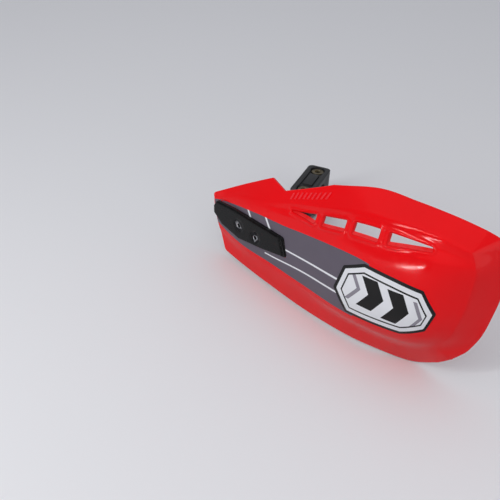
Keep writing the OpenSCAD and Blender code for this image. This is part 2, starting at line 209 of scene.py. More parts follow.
def to_uv(ab):
    """Flat place on the shell, in about mm, as u and v."""
    a, b = ab[:, 0], ab[:, 1]
    u = np.where(a <= FACE_LONG, a / FACE_LONG, 1 + (a - FACE_LONG) / OUTER_RIM)
    v = np.where(b <= FACE_HIGH, b / FACE_HIGH, 1 + (b - FACE_HIGH) / BRIM_RIM)
    v = np.where(b < 0, b / LOWER_RIM, v)
    return u, v


def from_uv(u, v):
    a = FACE_LONG * u if u <= 1 else FACE_LONG + (u - 1) * OUTER_RIM
    b = v * LOWER_RIM if v < 0 else (v * FACE_HIGH if v <= 1 else FACE_HIGH + (v - 1) * BRIM_RIM)
    return [a, b]


FACE_A1 = FACE_LONG + OUTER_RIM
FACE_B0, FACE_B1 = -LOWER_RIM, FACE_HIGH + BRIM_RIM

# How far the creases are rounded: all of them, those by the outer rim and those by the lower rim
CREASE = {"fine": 1.1, "rim": 0.8, "lower": 3.6}
CREASE_REACH = 9.0
# Places averaged to round a crease, as shares of that distance, with their weights
TAPS = ((-1, 1), (-0.5, 2), (0, 2), (0.5, 2), (1, 1))


def moulded_surface(ab):
    """The front face with its creases rounded, as they are moulded."""
    a, b = ab[:, 0], ab[:, 1]
    reach = (CREASE["fine"] + CREASE["rim"] * np.exp(-((a - FACE_LONG) / CREASE_REACH) ** 2)
             + CREASE["lower"] * np.exp(-(b / CREASE_REACH) ** 2))
    out, total = 0, 0
    for i, wide in TAPS:
        for j, high in TAPS:
            near = np.stack([a + i * reach, b + j * reach], 1)
            out = out + wide * high * sharp_surface(*to_uv(near))
            total += wide * high
    return out / total


# The front face is worked out once, on a fine flat grid, and read from there
GRID_STEP = 0.7
GRID_MARGIN = 6 * GRID_STEP
GRID_START = np.array([0.0, FACE_B0]) - GRID_MARGIN


def surface_tables():
    """Points and unit normals of the front face on the fine flat grid, normals to the front."""
    a = np.arange(GRID_START[0], FACE_A1 + GRID_MARGIN, GRID_STEP)
    b = np.arange(GRID_START[1], FACE_B1 + GRID_MARGIN, GRID_STEP)
    grid = np.stack(np.meshgrid(a, b, indexing="ij"), -1).reshape(-1, 2)
    points = moulded_surface(grid).reshape(len(a), len(b), 3)
    out = np.cross(np.gradient(points, axis=0), np.gradient(points, axis=1))
    return points, out / np.linalg.norm(out, axis=2, keepdims=True)


POINT_TABLE, NORMAL_TABLE = surface_tables()


def read_table(table, ab):
    """Smooth values of a table at flat places."""
    s = (np.asarray(ab, float).reshape(-1, 2) - GRID_START) / GRID_STEP
    i = np.clip(np.floor(s).astype(int), 1, np.array(table.shape[:2]) - 3)
    f = s - i
    weights = ((-f + 2 * f ** 2 - f ** 3) / 2, (2 - 5 * f ** 2 + 3 * f ** 3) / 2,
               (f + 4 * f ** 2 - 3 * f ** 3) / 2, (-f ** 2 + f ** 3) / 2)
    return sum(weights[j][:, :1] * weights[k][:, 1:] * table[i[:, 0] + j - 1, i[:, 1] + k - 1]
               for j in range(4) for k in range(4))


def surface(ab):
    return read_table(POINT_TABLE, ab)


def normals(ab):
    out = read_table(NORMAL_TABLE, ab)
    return out / np.linalg.norm(out, axis=1, keepdims=True)


def ridge(ab):
    """Height of the stiffening ridges on the rear of the face."""
    u, v = to_uv(np.asarray(ab, float))
    over = np.max([np.clip(1 - np.abs(v - r) / RIDGE_WIDE, 0, 1) for r in RIDGE_ROWS], axis=0)
    over = over * over * (3 - 2 * over)
    return RIDGE_HIGH * over * np.clip(np.minimum(12 * (u - 0.4), 16 * (0.93 - u)), 0, 1)


# Newton's method: how many steps, the probe and the longest step, in mm
NEWTON_STEPS, NEWTON_PROBE, NEWTON_REACH = 12, 0.05, 6


def place_on(where, target, start, pick):
    """Flat places at which where(ab) has pick equal to target."""
    ab, e = np.array(start, float), NEWTON_PROBE
    for _ in range(NEWTON_STEPS):
        f = pick(where(ab))
        fa = (pick(where(ab + [e, 0])) - f) / e
        fb = (pick(where(ab + [0, e])) - f) / e
        det = fa[:, 0] * fb[:, 1] - fa[:, 1] * fb[:, 0]
        r = target - f
        step = np.stack([(r[:, 0] * fb[:, 1] - r[:, 1] * fb[:, 0]) / det,
                         (fa[:, 0] * r[:, 1] - fa[:, 1] * r[:, 0]) / det], 1)
        ab += np.clip(step, -NEWTON_REACH, NEWTON_REACH)
    return ab


# A rounding takes at most this share of a side, and leaves corners alone that turn less than this
SIDE_SHARE, NEARLY_STRAIGHT = 0.48, 1.5


def rounded(points, radius, steps=6, closed=True):
    """A polygon with its corners rounded."""
    p = np.asarray(points, float)
    out = []
    n = len(p)
    r = np.broadcast_to(radius, (n,))
    for i in range(n):
        if not closed and i in (0, n - 1):
            out.append(p[i])
            continue
        a, b, c = p[i - 1], p[i], p[(i + 1) % n]
        la, lc = np.linalg.norm(a - b), np.linalg.norm(c - b)
        d0, d1 = (a - b) / la, (c - b) / lc
        half = math.acos(float(np.clip(d0 @ d1, -1, 1))) / 2
        if r[i] <= 0 or half > NEARLY_STRAIGHT:
            out.append(b)
            continue
        cut = min(r[i] / math.tan(half), la * SIDE_SHARE, lc * SIDE_SHARE)
        turn = math.pi - 2 * half
        middle = b + (d0 + d1) / np.linalg.norm(d0 + d1) * cut * math.tan(half) / math.sin(half)
        for t in np.arange(steps + 1) / steps:
            out.append(middle + (math.sin((1 - t) * turn) * (b + d0 * cut - middle)
                                 + math.sin(t * turn) * (b + d1 * cut - middle)) / math.sin(turn))
    return np.array(out)


def grown(points, d):
    """A polygon, counterclockwise, with each side moved outwards by d."""
    p = np.asarray(points, float)
    out = []
    for i in range(len(p)):
        a, b, c = p[i - 1], p[i], p[(i + 1) % len(p)]
        n0 = np.array([b[1] - a[1], a[0] - b[0]]) / np.linalg.norm(b - a)
        n1 = np.array([c[1] - b[1], b[0] - c[0]]) / np.linalg.norm(c - b)
        m = n0 + n1
        out.append(b + m * d / (1 + n0 @ n1))
    return np.array(out)


def outward(loop):
    """Unit directions away from a counterclockwise closed line."""
    along_line = np.roll(loop, -1, 0) - np.roll(loop, 1, 0)
    out = np.stack([along_line[:, 1], -along_line[:, 0]], 1)
    return out / np.linalg.norm(out, axis=1, keepdims=True)


def dense(line, step, closed=True):
    """The same line with a point at least every step."""
    out = []
    ends = np.roll(line, -1, 0) if closed else line[1:]
    for a, b in zip(line, ends):
        k = max(1, int(math.ceil(np.linalg.norm(b - a) / step)))
        out += [a + (b - a) * i / k for i in range(k)]
    return np.array(out if closed else out + [line[-1]])


def inside(points, loop):
    """Which points lie inside a closed line."""
    x, y = points[:, 0], points[:, 1]
    hit = np.zeros(len(points), bool)
    for (x0, y0), (x1, y1) in zip(loop, np.roll(loop, -1, 0)):
        if y0 == y1:
            continue
        cross = (y0 > y) != (y1 > y)
        hit ^= cross & (x < (x1 - x0) * (y - y0) / (y1 - y0) + x0)
    return hit


def spaced_from(points, lines, gap):
    """Which points keep a gap from all the points of lines."""
    keep = np.ones(len(points), bool)
    for i in range(0, len(points), 2000):
        d = np.linalg.norm(points[i:i + 2000, None] - lines[None], axis=2).min(1)
        keep[i:i + 2000] = d > gap
    return keep


def triangulate(loops, grid, gap):
    """Triangles over a flat region, which the first loop bounds. The others are lines in it."""
    grid = grid[inside(grid, loops[0])]
    grid = grid[spaced_from(grid, np.concatenate(loops), gap)]
    points, edges, spans, at = [], [], [], 0
    for loop in loops:
        k = len(loop)
        points.append(loop)
        edges += [(at + i, at + (i + 1) % k) for i in range(k)]
        spans.append(np.arange(at, at + k))
        at += k
    points = np.concatenate(points + [grid])
    verts, _, faces, origin, _, _ = delaunay_2d_cdt(
        [Vector(p) for p in points], edges, [], 0, 1e-6)
    back = np.full(len(points), -1)
    for new, old in enumerate(origin):
        for k in old:
            back[k] = new
    flat = np.array([list(v) for v in verts])
    tris = np.array([f for f in faces if len(f) == 3])
    middle = flat[tris].mean(1)
    tris = tris[inside(middle, loops[0])]
    return flat, tris, [back[s] for s in spans]


def without(flat, tris, holes):
    """The triangles that lie in none of these holes."""
    middle = flat[tris].mean(1)
    keep = np.ones(len(tris), bool)
    for hole in holes:
        keep &= ~inside(middle, hole)
    return tris[keep]


# Distance of rows of equal triangles, and how far the closer rows reach beside a crease
ROW_SHARE, CREASE_SIDE = 0.866, 2.8


def flat_grid(step):
    """Flat places all over the shell, in staggered rows."""
    a = np.arange(step / 4, FACE_A1, step)
    b = np.arange(FACE_B0 + step / 2, FACE_B1, step * ROW_SHARE)
    out = np.stack(np.meshgrid(a, b), -1)
    out[1::2, :, 0] += step / 2
    return out.reshape(-1, 2)


def graded_grid(step):
    """The same, closer together along the creases and the ledge of the vents."""

    def by_crease(ab):
        beside = [ab[:, 1] - share * FACE_HIGH for share in (0, LEDGE_LOW, LEDGE_BACK, 1)]
        return np.any(np.abs([*beside, ab[:, 0] - FACE_LONG]) < CREASE_SIDE, axis=0)

    coarse, close = flat_grid(step), flat_grid(step * 0.6)
    return np.concatenate([coarse[~by_crease(coarse)], close[by_crease(close)]])


def ring(loop, distance, outwards):
    """A line beside a closed line on the shell, at a distance in mm measured on the surface."""
    n = normals(loop)
    p = surface(loop)
    along = np.roll(p, -1, 0) - np.roll(p, 1, 0)
    aside = np.cross(along, n) * (1 if outwards else -1)
    aside /= np.linalg.norm(aside, axis=1, keepdims=True)
    e = 0.4
    da = (surface(loop + [e, 0]) - surface(loop - [e, 0])) / (2 * e)
    db = (surface(loop + [0, e]) - surface(loop - [0, e])) / (2 * e)
    aa, ab, bb = (da * da).sum(1), (da * db).sum(1), (db * db).sum(1)
    ra, rb = (da * aside).sum(1), (db * aside).sum(1)
    det = aa * bb - ab * ab
    step = np.stack([(bb * ra - ab * rb) / det, (aa * rb - ab * ra) / det], 1)
    return loop + step * distance


def new_object(name, data, material=None):
    obj = bpy.data.objects.new(name, data)
    bpy.context.scene.collection.objects.link(obj)
    if material:
        data.materials.append(material)
    return obj


def mesh_object(name, points, faces, material, sharp_deg=38):
    """A new object from points in the part's frame, smooth where its faces meet flatly."""
    mesh = bpy.data.meshes.new(name)
    mesh.from_pydata([tuple(p) for p in points], [], [tuple(int(i) for i in f) for f in faces])
    mesh.validate()
    bm = bmesh.new()
    bm.from_mesh(mesh)
    bmesh.ops.recalc_face_normals(bm, faces=bm.faces)
    bm.to_mesh(mesh)
    bm.free()
    mesh.shade_smooth()
    mesh.set_sharp_from_angle(angle=math.radians(sharp_deg))
    return new_object(name, mesh, material)


def point_value(obj, name, values):
    """Keeps one number for each point of a mesh, for its material."""
    kept = obj.data.attributes.get(name) or obj.data.attributes.new(name, "FLOAT", "POINT")
    kept.data.foreach_set("value", np.asarray(values, np.float32))


def along(x):
    """Share of the way along the shell at which the brim's fold is this far from the tip."""
    return float(np.interp(x, FOLD_TOP[:, 0], np.arange(8) / 7))


PLATE_OUTLINE = np.array([[-39.5, 2], [-38.5, -4], [-28, -9.4], [-8, -11], [17, -5.4], [42, 1.6],
                          [35, 14.2], [-18, 9.5], [-37.5, 6.2]])
PLATE_ROUND = 2.2
SCREW_AT = 9.25
PEG_AT = (31.0, 3.0)


def circle(d, x=0.0, z=0.0, steps=32):
    t = np.arange(steps) / steps * 2 * math.pi
    return np.stack([x + d / 2 * np.cos(t), z + d / 2 * np.sin(t)], 1)


def seat_xz(p):
    return to_seat(p)[:, [0, 2]]


def shell_xz(p):
    return p[:, [0, 2]]


def find_seat(where, line):
    """Flat places on the shell of a line drawn in the seat's plane."""
    return place_on(where, line, [from_uv(0.25, 0.4)] * len(line), seat_xz)


# Lines round the plate: clear of it where its seat is sunk, under it where the seat stands proud
SEAT_CLEAR, SEAT_UNDER, SEAT_STEP = 0.15, 0.4, 0.25


def seat_lines(where, out=0.0):
    """Two lines round the plate, moved out by some mm: on the shell, and on its seat."""
    plate = dense(rounded(PLATE_OUTLINE, PLATE_ROUND, 5), 1.2)
    proud = np.ones(len(plate))
    if where is surface:
        proud = np.clip(to_seat(surface(find_seat(surface, plate)))[:, 1] + 0.6, 0, 1)
    away = SEAT_CLEAR - (SEAT_CLEAR + SEAT_UNDER) * proud
    return [find_seat(where, plate + outward(plate) * (away - step_in + out)[:, None])
            for step_in in (0, SEAT_STEP)]


# Vents: distance from the inner tip, length, and share of the full height at each end
VENT_HIGH, VENT_LEAN, VENT_ROUND = 6.1, 1.2, 0.9
VENTS = [(82.3, 21.5, 0.15, 1), (109.7, 18.3, 1, 1), (134.6, 18.7, 1, 1), (160.1, 27.8, 0.9, 0.32)]
SHELL_LENGTH = 229
EAR_LENGTH, NOTCH_WIDTH, NOTCH_DEPTH, NOTCH_RUN = 54.6, 15.8, 9.5, 38.0
EAR_ROUND, NOTCH_ROUND, BRIM_ROUND, TIP_ROUND = 1.4, 2.5, 9, 4.0


def vent_loops():
    share = VENT_HIGH / (FOLD_TOP[4, 2] - FOLD_BOTTOM[4, 2])
    lean = VENT_LEAN / SHELL_LENGTH
    for start, length, high_in, high_out in VENTS:
        u0, u1 = along(start), along(start + length)
        corners = [from_uv(u0, LEDGE_BACK), from_uv(u0 + lean, LEDGE_BACK - share * high_in),
                   from_uv(u1 + lean, LEDGE_BACK - share * high_out), from_uv(u1, LEDGE_BACK)]
        yield dense(rounded(corners, VENT_ROUND), 0.6)


def edge_loop():
    """The shell's own edge, counterclockwise, with the notch beside the ear and rounded corners."""
    ear, low = along(EAR_LENGTH), along(EAR_LENGTH + NOTCH_WIDTH)
    brim = along(EAR_LENGTH + NOTCH_WIDTH + NOTCH_RUN)
    before, after = ear - 0.025, brim + 0.05
    knots = shell_xz(surface([from_uv(q, 2) for q in (before, ear, low, brim, after)]))
    knots[2, 1] -= NOTCH_DEPTH
    cut = rounded(knots, [0, EAR_ROUND, NOTCH_ROUND, BRIM_ROUND, 0], 8, closed=False)
    cut = dense(cut, 0.8, closed=False)
    cut = place_on(surface, cut, [from_uv(low, 1.6)] * len(cut), shell_xz)
    cut[0], cut[-1] = from_uv(before, 2), from_uv(after, 2)
    tips = []
    low_tip, high_tip = [0.0, FACE_B0], [0.0, FACE_B1]
    for tip, aside, ahead in ((low_tip, [0, 22], [10, 0]), (high_tip, [10, 0], [0, -22])):
        sides = shell_xz(surface([np.add(tip, aside), tip, np.add(tip, ahead)]))
        arc = rounded(sides, TIP_ROUND, 10, closed=False)[1:-1]
        arc = place_on(surface, arc, [tip] * len(arc), shell_xz)
        tips.append(arc.clip(low_tip, [FACE_A1, FACE_B1]))
    line = [*tips[0], [FACE_A1, FACE_B0], [FACE_A1, FACE_B1], *cut[::-1], *tips[1]]
    return dense(np.array(line), 1.0)


# Raised lip round the vents: how high, how far from the opening and how wide
LIP_HIGH, LIP_AT, LIP_WIDE = 0.6, 1.5, 1.0


def rounding(distance, radius, lip):
    """How far the front lies under its own surface, this far from a rounded edge."""
    turn = np.clip(1 - distance / radius, 0, 1)
    raised = lip * math.exp(-((distance - LIP_AT) / LIP_WIDE) ** 2)
    return radius * (1 - math.sqrt(1 - turn ** 2)) - raised


def joined(front, back, n0, front_rims, back_rims):
    """The faces of a front and a back, whose points start at n0, with walls from rim to rim."""
    faces = [tuple(t) for t in front] + [tuple(t[::-1] + n0) for t in back]
    for a, b in zip(front_rims, back_rims):
        k = len(a)
        faces += [(a[i], a[(i + 1) % k], b[(i + 1) % k] + n0, b[i] + n0) for i in range(k)]
    return faces


# Lines round the shell's edges, and round a vent's lip, as shares of the edge radius
EDGE_RINGS = [0, 0.12, 0.35, 0.65, 1.0]
LIP_RINGS = EDGE_RINGS + [1.4, 1.8, 2.2, 2.7, 3.3]
SCREW_HOLE, PEG_HOLE = 5.4, 5.0


def shell_mesh(wall, edge_radius, step):
    """Points and faces of the whole shell, its edges rounded, in the shell's axes."""

    def behind(ab):
        return surface(ab) - normals(ab) * (wall + ridge(ab))[:, None]

    outer, vents = edge_loop(), list(vent_loops())
    holes = [circle(SCREW_HOLE, -SCREW_AT), circle(SCREW_HOLE, SCREW_AT), circle(PEG_HOLE, *PEG_AT)]
    sides = []
    for front in (True, False):
        where = surface if front else behind
        opened = vents
        if not front:
            opened = [place_on(behind, shell_xz(surface(v)), v, shell_xz) for v in vents]
        lines, drops = [], []
        for line in [outer, *opened]:
            lip = LIP_HIGH if front and line is not outer else 0
            for d in LIP_RINGS if lip else EDGE_RINGS:
                lines.append(ring(line, edge_radius * d, line is not outer) if d else line)
                drops.append(np.full(len(line), rounding(edge_radius * d, edge_radius, lip)))
        seat = seat_lines(where)
        hole_lines = [find_seat(where, h) for h in holes]
        kept = lines + seat + hole_lines
        drops += [np.zeros(len(line)) for line in seat + hole_lines]
        flat, tris, spans = triangulate(kept, graded_grid(step), 0.5)
        tris = without(flat, tris, opened + hole_lines)
        drop = np.zeros(len(flat))
        for span, d in zip(spans, drops):
            drop[span] = d
        n = normals(flat)
        p = surface(flat) - n * (drop if front else wall + ridge(flat) - drop)[:, None]
        floor = inside(flat, seat[1])
        for span in spans[-4:]:
            floor[span] = True
        q = to_seat(p[floor])
        q[:, 1] = 0 if front else np.maximum(q[:, 1], SEAT_BACK)
        p[floor] = from_seat(q)
        rims = [spans[k] for k, line in enumerate(kept) if any(line is e for e in [outer, *opened])]
        sides.append((p, tris, rims + spans[-3:], np.clip(drop / edge_radius, 0, 1)))
    (p0, t0, e0, d0), (p1, t1, e1, d1) = sides
    return np.concatenate([p0, p1]), joined(t0, t1, len(p0), e0, e1), np.concatenate([d0, d1])


def film(flat, tris, lift, thickness, seated=()):
    """A thin film on the shell over these triangles, closed all round. Points that seated names lie
    on the plate's seat."""
    used = np.unique(tris)
    index = np.full(len(flat), -1)
    index[used] = np.arange(len(used))
    tris, k = index[tris], len(used)
    p, n = surface(flat[used]), normals(flat[used])
    down = np.isin(used, seated)
    p[down] = from_seat(to_seat(p[down]) * [1, 0, 1])
    n[down] = from_seat([0, -1, 0]) - SEAT_PLACE
    faces = [tuple(t) for t in tris] + [tuple(t[::-1] + k) for t in tris]
    sides = {(t[i], t[i - 2]) for t in tris for i in range(3)}
    faces += [(b, a, a + k, b + k) for a, b in sides if (b, a) not in sides]
    return np.concatenate([p + n * (lift + thickness), p + n * lift]), faces


def painted(shapes, step):
    """Flat places, the triangles of each ink and the points of each shape's line. A later shape
    covers an earlier one, ink None leaves the shell bare, and a shape shows inside its clip."""
    every = np.concatenate([loop for loop, _, _ in shapes])
    low, high = every.min(0) - 1, every.max(0) + 1
    frame_line = np.array([low, [high[0], low[1]], high, [low[0], high[1]]])
    loops = [dense(frame_line, 4)] + [dense(loop, 1.2) for loop, _, _ in shapes]
    flat, tris, spans = triangulate(loops, flat_grid(step), 0.6)
    middle = flat[tris].mean(1)
    ink = np.full(len(tris), "", dtype=object)
    for loop, name, clip in shapes:
        hit = inside(middle, loop)
        if clip is not None:
            hit &= inside(middle, clip)
        ink[hit] = name or ""
    return flat, {name: tris[ink == name] for name in sorted(set(ink)) if name}, spans[1:]


# The plate's front as heights over its seat: distance from its outline, height and wear
PLATE_THICK = 3.4
RIM_STEPS = [(0, 1.95, 1), (0.07, 2.11, 1), (0.18, 2.18, 0.4), (0.3, 2.2, 0), (0.74, 2.2, 0),
             (0.8, 2.25, 0), (0.84, 3.1, 0.5), (0.92, 3.28, 1), (1.05, 3.37, 0.5), (1.2, 3.4, 0)]
# The same round each screw, from its axis
SINK_STEPS = [(5.5, 3.4, 0), (5.3, 3.37, 0.5), (5.12, 3.28, 0.8), (2.7, 0.9, 0)]
# How far the front drops, past a line across the plate's outer end
END_STEPS = [(-0.22, 0), (-0.1, 0.04), (0, 0.2), (0.04, 0.72), (0.14, 0.86), (0.25, 0.9),
             (1.05, 0.9), (1.16, 0.87), (1.26, 0.78), (1.3, 0.66), (1.42, 0.61), (1.55, 0.6)]
PLATE_END = np.array([39.0, 0.0])
END_LEAN = math.radians(29)
# That line stops this far inside the outline, and has this many points
END_CLEAR, END_POINTS = 1.4, 16
# The peg behind the plate: radius and height
PEG_STEPS = [(2.3, 0), (2.28, 2.9), (2.1, 3.1)]


def plate_mesh():
    """Points, faces and wear of the front plate in the seat's axes."""
    outline = dense(rounded(PLATE_OUTLINE, PLATE_ROUND, 8), 0.9)
    loops = [outline - outward(outline) * d for d, _, _ in RIM_STEPS]
    levels = [step[1:] for step in RIM_STEPS]
    for x in (-SCREW_AT, SCREW_AT):
        loops += [circle(2 * r, x) for r, _, _ in SINK_STEPS]
        levels += [step[1:] for step in SINK_STEPS]
    past = np.array([math.cos(END_LEAN), math.sin(END_LEAN)])
    across = np.array([-past[1], past[0]])
    way = np.arange(-20, 25, 0.1)
    clear = outline - outward(outline) * END_CLEAR
    first, last = (inside(PLATE_END + across * way[:, None] + past * END_STEPS[k][0], clear)
                   for k in (0, -1))
    way = way[first & last]
    line = PLATE_END + across * np.linspace(way.min(), way.max(), END_POINTS)[:, None]
    for near, far in zip(END_STEPS[::2], END_STEPS[1::2]):
        loops.append(np.concatenate([line + past * near[0], (line + past * far[0])[::-1]]))
        levels.append((PLATE_THICK, 0))
    grid = flat_grid(2.0) - [60, 30]
    flat, tris, spans = triangulate(loops, grid, 0.6)
    high, worn = np.full(len(flat), PLATE_THICK), np.zeros(len(flat))
    for span, (level, wear) in zip(spans, levels):
        high[span], worn[span] = level, wear
    drop = np.interp((flat - PLATE_END) @ past, *np.array(END_STEPS).T)
    high = np.minimum(high, PLATE_THICK - drop)
    bores = [len(RIM_STEPS) + k * len(SINK_STEPS) - 1 for k in (1, 2)]
    tris = without(flat, tris, [loops[k] for k in bores])
    back_loops = [outline] + [loops[k] for k in bores]
    back_loops += [circle(2 * r, *PEG_AT) for r, _ in PEG_STEPS]
    back, back_tris, back_spans = triangulate(back_loops, grid, 0.6)
    deep = np.where(inside(back, back_loops[-1]), PEG_STEPS[-1][1], 0.0)
    for span, (_, level) in zip(back_spans[3:], PEG_STEPS):
        deep[span] = level
    back_tris = without(back, back_tris, back_loops[1:3])
    faces = joined(tris, back_tris, len(flat), [spans[0]] + [spans[k] for k in bores], back_spans)
    points = np.concatenate([np.insert(flat, 1, -high, axis=1), np.insert(back, 1, deep, axis=1)])
    return points, faces, np.concatenate([worn, np.zeros(len(back))])


# Materials


def add_node(tree, kind, inputs=None, **settings):
    """Adds a node. inputs gives each socket, by name or number, a value or a socket to link."""
    made = tree.nodes.new(kind)
    for key, value in settings.items():
        setattr(made, key, value)
    for key, value in (inputs or {}).items():
        if isinstance(value, bpy.types.NodeSocket):
            tree.links.new(value, made.inputs[key])
        else:
            made.inputs[key].default_value = value
    return made


def new_material(name, noises=()):
    """A new material, its empty tree, and the noises that vary it. Each noise has the distance of
    its features in mm, a detail and a roughness."""
    made = bpy.data.materials.new(name)
    made.use_nodes = True
    tree = made.node_tree
    tree.nodes.clear()
    place = add_node(tree, "ShaderNodeTexCoord").outputs["Object"] if noises else None
    return made, tree, [add_node(tree, "ShaderNodeTexNoise",
                                 {"Vector": place, "Scale": 1 / (apart * MM), "Detail": detail,
                                  "Roughness": rough}).outputs["Fac"]
                        for apart, detail, rough in noises]


def finish_material(tree, inputs):
    shader = add_node(tree, "ShaderNodeBsdfPrincipled", inputs)
    add_node(tree, "ShaderNodeOutputMaterial", {"Surface": shader.outputs[0]})


def shaded(tree, noise, dark, pale, until=0.7):
    """A colour that a noise takes from dark to pale."""
    share = add_node(tree, "ShaderNodeMapRange",
                     {"Value": noise, "From Min": 0.3, "From Max": until})
    return add_node(tree, "ShaderNodeMix", {"Factor": share.outputs[0], "A": dark, "B": pale},
                    data_type="RGBA").outputs["Result"]


def dimmed(colour, share):
    return (*(c * share for c in colour[:3]), 1.0)


PLASTIC_IOR = 1.49


def moulded_plastic(name, colour, worn_colour, rough, grain_mm, grain_bump, specular):
    """Injection-moulded plastic: even colour, a fine spark-eroded grain, edges rubbed paler."""
    made, tree, (grain, cloud, rubs) = new_material(
        name, ((grain_mm, 3.0, 0.6), (38, 2.0, 0.5), (5, 5.0, 0.7)))
    worn = add_node(tree, "ShaderNodeAttribute", attribute_name="edge")
    share = add_node(tree, "ShaderNodeMath", {0: worn.outputs["Fac"], 1: rubs},
                     operation="MULTIPLY")
    edge = add_node(tree, "ShaderNodeMapRange", {"Value": share.outputs[0], "From Min": 0.2,
                                                 "From Max": 0.6, "To Min": 0.0, "To Max": 0.55})
    base = linear(colour)
    mixed = add_node(tree, "ShaderNodeMix",
                     {"Factor": edge.outputs[0], "A": shaded(tree, cloud, dimmed(base, 0.94), base),
                      "B": linear(worn_colour)}, data_type="RGBA")
    gloss = add_node(tree, "ShaderNodeMapRange", {"Value": rubs, "From Min": 0.3, "From Max": 0.75,
                                                  "To Min": rough - 0.03, "To Max": rough + 0.06})
    bump = add_node(tree, "ShaderNodeBump", {"Height": grain, "Strength": grain_bump,
                                             "Distance": 0.06 * MM})
    finish_material(tree, {"Base Color": mixed.outputs["Result"], "Roughness": gloss.outputs[0],
                           "Normal": bump.outputs[0], "IOR": PLASTIC_IOR,
                           "Specular IOR Level": specular})
    return made


def printed_film(name, colour):
    """Ink under a clear film moulded on the shell: even colour, duller than the red round it."""
    made, tree, (flow, dots) = new_material(name, ((9, 3.0, 0.5), (0.5, 2.0, 0.5)))
    base = linear(colour)
    gloss = add_node(tree, "ShaderNodeMapRange", {"Value": flow, "To Min": 0.26, "To Max": 0.35})
    bump = add_node(tree, "ShaderNodeBump",
                    {"Height": dots, "Strength": 0.05, "Distance": 0.04 * MM})
    finish_material(tree, {"Base Color": shaded(tree, flow, dimmed(base, 0.95), base),
                           "Roughness": gloss.outputs[0], "Normal": bump.outputs[0],
                           "IOR": PLASTIC_IOR, "Specular IOR Level": 0.25})
    return made


def plated_steel(name, colour, dark, bright, rough):
    """Plated metal: a passivated skin mottled between a duller and a plain colour, and edges worn
    bright.
    """
    made, tree, (mottle, grain) = new_material(name, ((1.6, 5.0, 0.65), (0.35, 2.0, 0.5)))
    worn = add_node(tree, "ShaderNodeAttribute", attribute_name="edge")
    shade = shaded(tree, mottle, linear(dark), linear(colour), 0.68)
    mixed = add_node(tree, "ShaderNodeMix", {"Factor": worn.outputs["Fac"], "A": shade,
                                             "B": linear(bright)}, data_type="RGBA")
    gloss = add_node(tree, "ShaderNodeMapRange", {"Value": mottle, "From Min": 0.3, "From Max": 0.7,
                                                  "To Min": rough + 0.1, "To Max": rough - 0.04})
    bump = add_node(tree, "ShaderNodeBump",
                    {"Height": grain, "Strength": 0.12, "Distance": 0.03 * MM})
    finish_material(tree, {"Base Color": mixed.outputs["Result"], "Metallic": 1.0,
                           "Roughness": gloss.outputs[0], "Normal": bump.outputs[0]})
    return made


# Sizes that a user would change


def length(name, description, mm, least, most):
    return FloatProperty(name=name, description=description, default=mm * MM, min=least * MM,
                         max=most * MM, unit="LENGTH")


def watts(name, description, default):
    return FloatProperty(name=name, description=description, default=default, min=0, max=60,
                         unit="POWER")


def factor(name, description, default):
    return FloatProperty(name=name, description=description, default=default, min=0, max=2,
                         subtype="FACTOR")


class GUARD_PG_shell(bpy.types.PropertyGroup):
    """Sizes of the shell's finished mesh."""

    wall: length("Wall", "Wall of the shell", 2.6, 1.5, 4)
    edge_radius: length("Edge radius", "Rounding of the shell's edges", 0.8, 0.2, 1.2)
    step: length("Mesh step", "Distance between the points of the mesh", 1.25, 0.8, 4)


class GUARD_PG_print(bpy.types.PropertyGroup):
    """Sizes of the printed film and of the ribs on the brim."""

    thickness: length("Film", "Thickness of the printed film", 0.06, 0.03, 0.3)
    line_width: length("Line width", "Width of the pale lines", 1.4, 0.5, 3)
    rib_height: length("Ribs", "Height of the ribs on the brim", 0.5, 0.1, 1)
    step: length("Mesh step", "Distance between the points of the film", 1.6, 1, 4)


class GUARD_PG_bevels(bpy.types.PropertyGroup):
    """Rounding of the edges of the bracket, the clamp and the fasteners."""

    moulded: length("Moulded edges", "Rounding of moulded edges", 0.4, 0.1, 1)
    machined: length("Machined edges", "Rounding of machined edges", 0.18, 0.05, 0.5)
    segments: IntProperty(name="Segments", description="Steps in each rounding", default=2, min=1,
                          max=5)


class GUARD_PG_stage(bpy.types.PropertyGroup):
    """Powers of the lights."""

    key_power: watts("Key light", "Softbox over the object", 0.85)
    fill_power: watts("Fill light", "Softbox in front", 1.1)
    side_power: watts("Side light", "Softbox beside the outer rim", 0.8)
    strip_power: watts("Strip light", "Low strip that streaks the face", 1.4)
    lip_power: watts("Lip light", "Upright strip that edges the vents", 2.2)
    sky: factor("Sky", "Strength of the even light from all round", 0.35)
    zenith: factor("Zenith", "How much stronger the light from straight above is", 0.22)


def declare(piece, slot, node=None):
    """Ties a finished piece to the body root and hides the CAD node it replaces; slot is not used.
    """
    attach(piece, "root")
    if node:
        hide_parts(node)


# Printed band, its pale lines and the plain badge, as shares along and up the shell
BAND_UPPER = [(0.008, 0.955), (0.044, 0.893), (0.085, 0.81), (0.125, 0.76), (0.17, 0.732),
              (0.246, 0.715), (0.33, 0.69), (0.39, 0.685), (0.57, 0.66), (0.64, 0.64)]
BAND_LOWER = [(0.008, 0.315), (0.03, 0.275), (0.078, 0.205), (0.142, 0.168), (0.2, 0.155),
              (0.29, 0.155), (0.42, 0.145), (0.62, 0.15)]
LONG_LINES = [[(0.30, 0.44), (0.36, 0.43), (0.58, 0.42)],
              [(0.265, 0.259), (0.311, 0.267), (0.42, 0.298), (0.58, 0.31)]]
SHORT_LINES = [[(0.166, 0.742), (0.176, 0.681), (0.185, 0.633), (0.197, 0.57)],
               [(0.2445, 0.725), (0.256, 0.664), (0.269, 0.60), (0.288, 0.52)]]
SHORT_WIDER = 1.1
BADGE = [(0.593, 0.163), (0.80, 0.19), (0.885, 0.275), (0.90, 0.43), (0.837, 0.59), (0.625, 0.632),
         (0.556, 0.556), (0.538, 0.345)]
